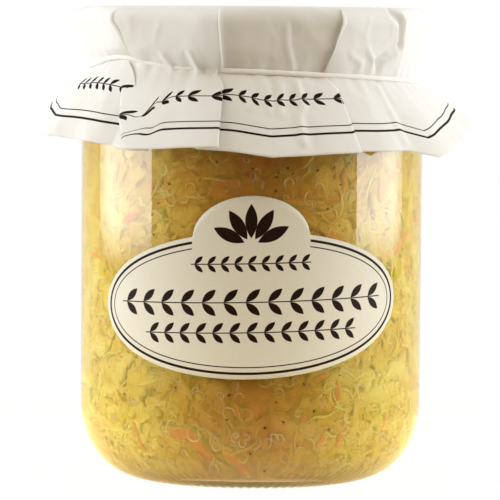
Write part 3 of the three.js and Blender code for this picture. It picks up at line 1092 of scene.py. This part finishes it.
# %% Printed lines and leaves
INK = colour(30, 14, 5)
LEAF_TURN = 42
LEAF_LENGTH = 0.86
LEAF_HALF_WIDTH = 0.17
LEAF_AHEAD = 0.1
LEAF_ASIDE = 0.31
# Half widths of the stem, in millimetres, at which the ink starts and has faded.
STEM = (0.08, 0.2)
LINE_SPREAD = (-0.04, 0.06)
LEAF_FADE = 0.05
END_FADE = 0.1


def printed_line(distance, middle, width):
    """A mask that is 1 on a line at some distance and fades out over a hair's breadth."""
    full, gone = [width / 2 + spread for spread in LINE_SPREAD]
    return 1 - abs(distance - middle).smooth(full, gone)


def leaf(x, y, middle, turn, length, half_width):
    """A mask of one pointed leaf, turned by some degrees."""
    cosine = math.cos(math.radians(turn))
    sine = math.sin(math.radians(turn))
    right = x - middle[0]
    up = y - middle[1]
    along = right * cosine + up * sine
    across = up * cosine - right * sine
    inside_leaf = half_width * (1 - (along * (2 / length)) ** 2) - abs(across)
    return inside_leaf.smooth(-LEAF_FADE, LEAF_FADE)


def garland(x, y, height, half_length, pitch):
    """A mask of leaf pairs on a stem that runs along x and stops at two ends."""
    repeated = x.math("WRAP", pitch / 2, -pitch / 2)
    leaf_size = (LEAF_LENGTH * pitch, LEAF_HALF_WIDTH * pitch)
    upper = leaf(repeated, y, (LEAF_AHEAD * pitch, height + LEAF_ASIDE * pitch), LEAF_TURN, *leaf_size)
    lower = leaf(repeated, y, (LEAF_AHEAD * pitch, height - LEAF_ASIDE * pitch), -LEAF_TURN, *leaf_size)
    stem = 1 - abs(y - height).smooth(*STEM)
    row = upper.math("MAXIMUM", lower).math("MAXIMUM", stem)
    return row * (1 - abs(x).smooth(half_length - END_FADE, half_length + END_FADE))


print("ink:", [round(share, 3) for share in INK])

# %% [markdown]
# The sheet is thin bleached paper. It is matt, it has faint clouds and fibres, and some light comes
# through it, which a Translucent shader adds. Two lines follow its cut edge and a garland runs
# further in.

# %% The paper cover
# Printed lines: distance from the cut edge and width.
PAPER_LINES = [(5.8, 0.6), (7.9, 0.28)]
GARLAND_FROM_EDGE = 15.8
GARLAND_PITCH = 3.1
GARLAND_DEGREES = 3.75
GARLAND_MIDDLE = -22
GARLAND_LEAVES = 25
LIGHT_THROUGH_PAPER = 0.15
PAPER_THICKNESS = 0.12 * MM


def paper_finish():
    """Thin bleached paper with fibres, two lines along its edge and a garland further in."""
    material, wires = new_finish("bleached_paper")
    place = wires.node("TexCoord", output="Object")
    flat = wires.node("UVMap", {"uv_map": "sheet"})
    edge_distance = wires.node("SeparateXYZ", values={"Vector": flat}, output="Y") * UV_SPAN
    azimuth = wires.node("SeparateXYZ", values={"Vector": flat}, output="X") * 360 - (180 + GARLAND_MIDDLE)
    around = azimuth * (GARLAND_PITCH / GARLAND_DEGREES)
    half_length = GARLAND_PITCH * GARLAND_LEAVES / 2
    ink = garland(around, edge_distance, GARLAND_FROM_EDGE, half_length, GARLAND_PITCH)
    for from_edge, width in PAPER_LINES:
        ink = ink.math("MAXIMUM", printed_line(edge_distance, from_edge, width))
    fibres = wires.node("TexNoise", values={"Vector": place, "Scale": 1500.0, "Detail": 3.0})
    clouds = wires.node("TexNoise", values={"Vector": place, "Scale": 90.0, "Detail": 2.0})
    sheet_colour = clouds.mix(colour(238, 238, 236), colour(246, 246, 245))
    base = ink.mix(sheet_colour, INK)
    grain = wires.node("Bump", values={"Height": fibres, "Strength": 0.12, "Distance": 0.0003})
    body = wires.node("BsdfPrincipled", values={
        "Base Color": base, "Roughness": 0.6, "Specular IOR Level": 0.12, "Normal": grain})
    glow = wires.node("BsdfTranslucent", values={"Color": base})
    put_out(wires, wires.node("MixShader", values={0: LIGHT_THROUGH_PAPER, 1: body, 2: glow}))
    return material


paper = piece_from_bmesh("paper_sheet", paper_shape, paper_finish(), "paper_cover")
thickness = paper.modifiers.new("paper thickness", "SOLIDIFY")
thickness.thickness = PAPER_THICKNESS
thickness.offset = -1

# %% [markdown]
# The elastic is a white rubber thread wrapped in yarn. A small circle is spun round the neck, and
# its vertices are then lifted to the height at which the elastic really lies, which wanders as it
# crosses the pleats.

# %% The elastic
ELASTIC_RADIUS = 0.62
ELASTIC_REACH = TIE_RADIUS + 0.9
ELASTIC_STEPS = 360
WRAPS = 150
WRAP_DEPTH = 0.05
WRAP_LEAN = 2


def yarn_finish():
    """White wrapped yarn."""
    material, wires = new_finish("wrapped_yarn")
    place = wires.node("TexCoord", output="Object")
    fuzz = wires.node("TexNoise", values={"Vector": place, "Scale": 2500.0, "Detail": 2.0})
    base = fuzz.mix(colour(232, 230, 224), colour(252, 251, 248))
    grain = wires.node("Bump", values={"Height": fuzz, "Strength": 0.3, "Distance": 0.0002})
    put_out(wires, wires.node("BsdfPrincipled", values={
        "Base Color": base, "Roughness": 0.7, "Normal": grain, "Specular IOR Level": 0.2}))
    return material


elastic_shape = bmesh.new()
section = bmesh.ops.create_circle(elastic_shape, segments=12, radius=ELASTIC_RADIUS)["verts"]
bmesh.ops.rotate(elastic_shape, verts=section, matrix=Matrix.Rotation(math.pi / 2, 3, "X"))
bmesh.ops.translate(elastic_shape, verts=section, vec=(ELASTIC_REACH, 0, 0))
bmesh.ops.spin(
    elastic_shape, geom=elastic_shape.verts[:] + elastic_shape.edges[:], axis=(0, 0, 1), cent=(0, 0, 0),
    angle=math.tau, steps=ELASTIC_STEPS, use_merge=True,
)
for vertex in elastic_shape.verts:
    azimuth = math.degrees(math.atan2(vertex.co.x, -vertex.co.y))
    wrap = 1 + WRAP_DEPTH * math.sin(math.radians(azimuth) * WRAPS + WRAP_LEAN * vertex.co.z)
    vertex.co.z = vertex.co.z * wrap + float(tie_level(azimuth))
bmesh.ops.recalc_face_normals(elastic_shape, faces=elastic_shape.faces[:])
piece_from_bmesh("elastic_band", elastic_shape, yarn_finish(), "elastic")

# %% [markdown]
# The label is an oval of cream paper with an arch on its top edge. It is a grid whose columns reach
# from the lower to the upper edge of that outline, laid round the glass. Its UV map keeps the flat
# shape, so that the printing can be drawn on it as on paper, in millimetres from the middle.

# %% The label
LABEL_WIDTH = 82.5
LABEL_HEIGHT = 36
LABEL_MIDDLE = 46.8
ARCH_WIDTH = 29.2
ARCH_FOOT = 16.1
ARCH_RISE = 10.6
LABEL_TILT = 1.5
LABEL_REACH = BODY_RADIUS + 0.12
LABEL_COLUMNS = 200
LABEL_ROWS = 24


def label_top(x, oval_top):
    """The height of the label's upper edge, at a distance along the jar."""
    share = abs(x) / (ARCH_WIDTH / 2)
    if share >= 1:
        return oval_top
    return max(oval_top, ARCH_FOOT + ARCH_RISE * math.sqrt(1 - share ** 2))


label_shape = bmesh.new()
bmesh.ops.create_grid(label_shape, x_segments=LABEL_COLUMNS, y_segments=LABEL_ROWS, size=1)
label_uv = label_shape.loops.layers.uv.new("flat")
flat_spots = []
for vertex in label_shape.verts:
    across = math.pi / 2 * vertex.co.x
    x = LABEL_WIDTH / 2 * math.sin(across)
    oval = LABEL_HEIGHT / 2 * math.cos(across)
    y = -oval + (label_top(x, oval) + oval) * (vertex.co.y + 1) / 2
    flat_spots.append((x, y))
for face in label_shape.faces:
    for loop in face.loops:
        x, y = flat_spots[loop.vert.index]
        loop[label_uv].uv = (0.5 + x / UV_SPAN, 0.5 + y / UV_SPAN)
for vertex, (x, y) in zip(label_shape.verts, flat_spots):
    turn = x / BODY_RADIUS
    height = LABEL_MIDDLE + y + x * math.tan(math.radians(LABEL_TILT))
    vertex.co = (LABEL_REACH * math.sin(turn), -LABEL_REACH * math.cos(turn), height)
bmesh.ops.remove_doubles(label_shape, verts=label_shape.verts[:], dist=1e-3)
print("label:", len(label_shape.verts), "points")

# %% [markdown]
# The label is printed like the cover, in the same ink. Two oval lines follow its edge and stop
# below the arch, where a sprig of five leaves stands, and three garlands run across its middle.

# %% Label finish
# Oval lines: distance from the label's edge, and the half widths at which the ink starts and has faded.
LABEL_LINES = [(1.4, 0.26, 0.38), (2.9, 0.09, 0.19)]
SPRIG_TURNS = (90, 58, 122, 26, 154)
SPRIG_FOOT = 14.6
SPRIG_RADIUS = 6.0
SPRIG_LEAF = (8.4, 1.5)
# Garlands: height above the middle, half length and the pitch of the leaves.
LABEL_GARLANDS = [(10.2, 14.85, 3.3), (0.8, 35.1, 5.4), (-6.6, 27.3, 4.2)]
LABEL_THICKNESS = 0.1 * MM


def oval_distance(x, y, inset):
    """How far a point lies outside an oval that is inset from the label's edge."""
    wide = LABEL_WIDTH / 2 - inset
    high = LABEL_HEIGHT / 2 - inset
    level = ((x / wide) ** 2 + (y / high) ** 2).math("SQRT")
    slope = ((x / wide ** 2) ** 2 + (y / high ** 2) ** 2).math("SQRT")
    return level * (level - 1) / slope


def label_finish():
    """Cream paper printed in brown: two border lines, a sprig in the arch and three garlands."""
    material, wires = new_finish("printed_label")
    place = wires.node("TexCoord", output="Object")
    flat = wires.node("UVMap", {"uv_map": "flat"})
    x = (wires.node("SeparateXYZ", values={"Vector": flat}, output="X") - 0.5) * UV_SPAN
    y = (wires.node("SeparateXYZ", values={"Vector": flat}, output="Y") - 0.5) * UV_SPAN
    beside_arch = (abs(x) - ARCH_WIDTH / 2).smooth(-END_FADE, END_FADE)
    below_arch = beside_arch.math("MAXIMUM", 1 - y.smooth(-END_FADE, END_FADE))
    thick, thin = [1 - abs(oval_distance(x, y, line[0])).smooth(*line[1:]) for line in LABEL_LINES]
    ink = thick.math("MAXIMUM", thin) * below_arch
    for turn in SPRIG_TURNS:
        aside = SPRIG_RADIUS * math.cos(math.radians(turn))
        rise = SPRIG_RADIUS * math.sin(math.radians(turn))
        ink = ink.math("MAXIMUM", leaf(x, y, (aside, SPRIG_FOOT + rise), turn, *SPRIG_LEAF))
    for height, half_length, pitch in LABEL_GARLANDS:
        ink = ink.math("MAXIMUM", garland(x, y, height, half_length, pitch))
    fibres = wires.node("TexNoise", values={"Vector": place, "Scale": 1600.0, "Detail": 3.0})
    cream = fibres.mix(colour(217, 215, 205), colour(226, 224, 216))
    base = ink.mix(cream, INK)
    grain = wires.node("Bump", values={"Height": fibres, "Strength": 0.08, "Distance": 0.0002})
    put_out(wires, wires.node("BsdfPrincipled", values={
        "Base Color": base, "Roughness": 0.55, "Specular IOR Level": 0.12, "Normal": grain}))
    return material


label = piece_from_bmesh("paper_label", label_shape, label_finish(), "front_label")
label_thickness = label.modifiers.new("label thickness", "SOLIDIFY")
label_thickness.thickness = LABEL_THICKNESS
label_thickness.offset = 1

# %% [markdown]
# The stage is a white table that fades into a white studio. To the camera the table is white with a
# faint shadow, and other rays meet a matt sheet that is dim in front of the jar, where the glass
# would mirror it. Light that has passed through the jar lies on the real table, warm under it and
# brighter beside it. A render would hardly find that light, so the table glows there by itself.

# %% The table
TABLE_RADIUS = 0.6
# Where each effect starts and is complete, in metres from the jar's axis.
TABLE_FADE = (0.09, 0.3)
FRONT_EDGE = (-0.03, 0.02)
DIM_FROM = (0.06, 0.11)
UNDER_JAR = (0.04, 0.08)
BESIDE_JAR = (0.02, 0.06)
GLOW_END = (0.08, 0.16)
MATT_WARM = (0.95, 0.86, 0.64, 1)
MATT_DIM = (0.42, 0.34, 0.22, 1)
GLOW_UNDER_JAR = (0.58, 0.44, 0.2, 1)
GLOW_BESIDE_JAR = (0.9, 0.78, 0.45, 1)
WHITE = (1, 1, 1, 1)
BLACK = (0, 0, 0, 1)
WHITE_TO_CAMERA = 0.98


def table_finish():
    """White to the eye with a soft shadow, dim where the glass mirrors its front, and gone further out."""
    material, wires = new_finish("white_table")
    place = wires.node("TexCoord", output="Object")
    distance = wires.node("VectorMath", {"operation": "LENGTH"}, {0: place}, output="Value")
    front = 1.0 - wires.node("SeparateXYZ", values={"Vector": place}, output="Y").smooth(*FRONT_EDGE)
    dim = distance.smooth(*DIM_FROM) * front
    matt = wires.node("BsdfDiffuse", values={"Color": dim.mix(MATT_WARM, MATT_DIM)})
    under_jar = 1 - distance.smooth(*UNDER_JAR)
    sideways = abs(wires.node("SeparateXYZ", values={"Vector": place}, output="X"))
    beside_jar = sideways.smooth(*BESIDE_JAR) * (1 - distance.smooth(*GLOW_END))
    passed = under_jar.mix(BLACK, GLOW_UNDER_JAR)
    glow = wires.node("Emission", values={"Color": beside_jar.mix(passed, GLOW_BESIDE_JAR)})
    lit_table = wires.node("AddShader", values={0: matt, 1: glow})
    bright = wires.node("Emission", values={"Color": WHITE, "Strength": 1.0})
    seen = wires.node("LightPath", output="Is Camera Ray")
    white = wires.node("MixShader", values={0: seen * WHITE_TO_CAMERA, 1: lit_table, 2: bright})
    clear = wires.node("BsdfTransparent")
    put_out(wires, wires.node("MixShader", values={0: distance.smooth(*TABLE_FADE), 1: white, 2: clear}))
    return material


table_shape = bmesh.new()
bmesh.ops.create_circle(table_shape, cap_ends=True, segments=96, radius=TABLE_RADIUS)
table_mesh = bpy.data.meshes.new("table")
table_shape.to_mesh(table_mesh)
table_shape.free()
table_mesh.materials.append(table_finish())
table = bpy.data.objects.new("table", table_mesh)
bpy.context.scene.collection.objects.link(table)
table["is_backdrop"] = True
print("table of", table.dimensions.x, "m")

# %% [markdown]
# The light of the studio is the world's colour. Behind the jar it is bright, in front it is dim and
# warm, so the middle of the jar stays in soft shade, and a band overhead lights the paper. The
# camera itself sees plain white. Light goes through glass, brine and many shreds on its way, so
# more bounces are allowed than Blender's own number.

# %% The studio light
# The light at the jar's level, from the camera's side (0) to behind the jar (1).
STUDIO_STOPS = [
    (0.08, (0.12, 0.085, 0.05, 1)),
    (0.2, (0.5, 0.4, 0.24, 1)),
    (0.32, (0.92, 0.89, 0.84, 1)),
    (0.8, (0.82, 0.82, 0.82, 1)),
]

# The light from above, in the same order, and how far up its band starts and ends.
CEILING_STOPS = [
    (0.09, (0.72, 0.55, 0.3, 1)),
    (0.19, (1.95, 1.83, 1.56, 1)),
    (0.36, (2.4, 2.36, 2.26, 1)),
    (0.5, (1.5, 1.5, 1.5, 1)),
    (0.75, (1.0, 1.0, 1.0, 1)),
]
CEILING_START = (0.12, 0.3)
CEILING_END = (0.5, 0.8)

world = bpy.data.worlds.new("studio")
world.use_nodes = True
world.node_tree.nodes.clear()
sky = Wire(world.node_tree)
direction = sky.node("TexCoord", output="Generated")
towards_back = sky.node("SeparateXYZ", values={"Vector": direction}, output="Y") * 0.5 + 0.5
level_light = sky.node("ValToRGB", {"stops": STUDIO_STOPS}, {"Fac": towards_back})
upwards = sky.node("SeparateXYZ", values={"Vector": direction}, output="Z")
overhead = upwards.smooth(*CEILING_START) * (1 - upwards.smooth(*CEILING_END))
ceiling = sky.node("ValToRGB", {"stops": CEILING_STOPS}, {"Fac": towards_back})
light = sky.node("Background", values={"Color": overhead.mix(level_light, ceiling), "Strength": 1.0})
white = sky.node("Background", values={"Color": WHITE, "Strength": 1.0})
seen = sky.node("LightPath", output="Is Camera Ray")
background = sky.node("MixShader", values={0: seen, 1: light, 2: white})
world_end = world.node_tree.nodes.new("ShaderNodeOutputWorld")
world.node_tree.links.new(background.socket, world_end.inputs["Surface"])
scene = bpy.context.scene
scene.world = world
scene.view_settings.view_transform = "Standard"
scene.cycles.max_bounces = 24
scene.cycles.volume_bounces = 16
scene.cycles.transparent_max_bounces = 48
print("world:", world.name, "with up to", scene.cycles.max_bounces, "bounces")

# %% [markdown]
# Two tall soft boxes stand beside the jar. They give the glass its two upright shines and light the
# cabbage from the sides. A panel that ends sharply gives a shine with hard ends, so each fades
# towards its foot and its far side.

# %% The soft boxes
PANEL_FADE_UP = 0.2
PANEL_FADE_ACROSS = 0.35
PANEL_LEAST = 0.35
PANEL_TINT = (0.97, 1.0, 1.05)
PANEL_DISTANCE = 0.55
PANEL_BOTTOM = 0.012
PANEL_TOP = 0.2


def panel_finish(name, radiance, fade_side):
    """A glowing panel, dimmer at its foot and towards one side, so that its reflections have soft ends."""
    material, wires = new_finish(name)
    place = wires.node("TexCoord", output="UV")
    across, up = [wires.node("SeparateXYZ", values={"Vector": place}, output=axis) for axis in "XY"]
    from_side = across if fade_side < 0 else 1.0 - across
    lit_across = PANEL_LEAST + (1 - PANEL_LEAST) * from_side.smooth(0.0, PANEL_FADE_ACROSS)
    light = up.smooth(0.0, PANEL_FADE_UP) * lit_across
    full = (*(share * radiance for share in PANEL_TINT), 1)
    put_out(wires, wires.node("Emission", values={"Color": light.mix(BLACK, full)}))
    return material


def soft_box(name, azimuth, half_angle, radiance):
    """A panel beside the jar: its middle's azimuth, how wide it looks from the jar, and how bright it is."""
    shape = bmesh.new()
    bmesh.ops.create_grid(shape, x_segments=1, y_segments=1, size=1)
    corner_uv = shape.loops.layers.uv.new("panel")
    for face in shape.faces:
        for loop in face.loops:
            loop[corner_uv].uv = (loop.vert.co.x / 2 + 0.5, loop.vert.co.y / 2 + 0.5)
    half_width = PANEL_DISTANCE * math.tan(math.radians(half_angle))
    turn = math.radians(azimuth)
    for vertex in shape.verts:
        along = vertex.co.x * half_width
        vertex.co = (
            PANEL_DISTANCE * math.sin(turn) + along * math.cos(turn),
            -PANEL_DISTANCE * math.cos(turn) + along * math.sin(turn),
            PANEL_BOTTOM + (PANEL_TOP - PANEL_BOTTOM) * (vertex.co.y + 1) / 2,
        )
    mesh = bpy.data.meshes.new(name)
    shape.to_mesh(mesh)
    shape.free()
    mesh.materials.append(panel_finish(name, radiance, azimuth))
    made = bpy.data.objects.new(name, mesh)
    made.visible_camera = False
    bpy.context.scene.collection.objects.link(made)
    made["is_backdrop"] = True
    print(name, "of", round(2 * half_width, 2), "m by", round(PANEL_TOP - PANEL_BOTTOM, 2), "m")


soft_box("left_soft_box", -94, 26, 7.7)
soft_box("right_soft_box", 95, 23, 7.9)

# %% [markdown]
# The camera stands 0.8 m in front, about as high as the cap, with a long lens. It looks down by
# less than four degrees, so the foot of the jar shows as a shallow curve.

# %% The camera
CAMERA_DISTANCE = 0.8
CAMERA_HEIGHT = 0.110
AIM = Vector((-0.0003, 0, 0.0575))
PICTURE_WIDTH = 0.1283
ROLL = 0.45

camera_data = bpy.data.cameras.new("camera")
camera = bpy.data.objects.new("camera", camera_data)
camera.location = (0, -CAMERA_DISTANCE, CAMERA_HEIGHT)
gaze = AIM - camera.location
tilt = gaze.to_track_quat("-Z", "Y").to_matrix()
camera.rotation_euler = (tilt @ Matrix.Rotation(math.radians(ROLL), 3, "Z")).to_euler()
camera_data.lens = camera_data.sensor_width * gaze.length / PICTURE_WIDTH
bpy.context.scene.collection.objects.link(camera)
bpy.context.scene.camera = camera
print("lens:", round(camera_data.lens, 1), "mm")

# %% [markdown]
# The bounds of the CAD model and of the finer meshes are printed side by side.

# %% The sizes of the CAD model and of the finer meshes
sizes = {
    "cad": [list(corner) for corner in cad_box],
    "visual": [list(corner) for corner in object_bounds()],
}
print(sizes)
